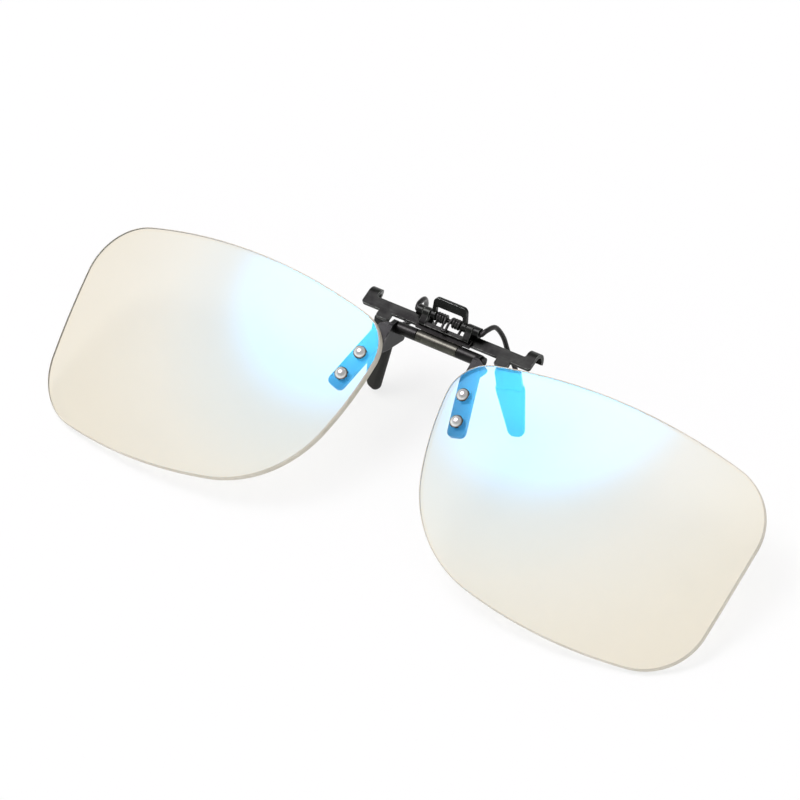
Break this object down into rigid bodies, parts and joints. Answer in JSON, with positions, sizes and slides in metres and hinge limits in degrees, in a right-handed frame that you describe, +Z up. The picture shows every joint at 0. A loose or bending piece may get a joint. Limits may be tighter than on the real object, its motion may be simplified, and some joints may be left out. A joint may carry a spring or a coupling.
{
  "type": "clip-on flip-up lenses",
  "caption": "Rimless flip-up clip-on lenses for spectacles: clear riveted lenses on a friction hinge, a hooked clip bar, and a sprung finger lever with rubber-sleeved legs.",
  "frame": {"origin": "middle of the bounding box's footprint, on the table the part stands on", "axes": "+X to the right along the hinge, +Y from the lower lens edges towards the clip, +Z up from the table"},
  "size_m": [0.1374, 0.0458, 0.0232],
  "materials": {
    "lens": "clear with a pale blue coating sheen",
    "black_metal": "black satin over stamped steel",
    "gunmetal": "grey satin",
    "silver": "polished",
    "rubber": "matte"
  },
  "bodies": {
    "clip_base": {"hook_bar": "black_metal", "hinge_barrel": "gunmetal", "pivot_bracket": "black_metal", "torsion_spring": "gunmetal"},
    "lens_pair": {"left_lens": "lens", "right_lens": "lens", "left_strap": "black_metal", "right_strap": "black_metal", "left_upper_rivet": "silver", "left_lower_rivet": "silver", "right_upper_rivet": "silver", "right_lower_rivet": "silver", "left_upper_washer": "silver", "left_lower_washer": "silver", "right_upper_washer": "silver", "right_lower_washer": "silver", "hinge_shaft": "silver", "left_hinge_collar": "black_metal", "right_hinge_collar": "black_metal"},
    "finger_lever": {"finger_loop": "black_metal", "pivot_rod": "silver", "left_crimp": "black_metal", "right_crimp": "black_metal", "left_leg_wire": "black_metal", "right_leg_wire": "black_metal", "left_leg_blade": "black_metal", "right_leg_blade": "black_metal", "left_leg_sleeve": "rubber", "right_leg_sleeve": "rubber"}
  },
  "joints": [
    {"name": "lens_flip", "type": "hinge", "parent": "clip_base", "child": "lens_pair", "pos_m": [0, 0.01417, 0.01775], "axis": [-1, 0, 0], "range_deg": [-48, 40]},
    {"name": "clip_open", "type": "hinge", "parent": "clip_base", "child": "finger_lever", "pos_m": [0, 0.01826, 0.01949], "axis": [1, 0, 0], "range_deg": [0, 25], "stiffness_Nm_per_rad": 0.012, "springref_deg": -51.57}
  ]
}
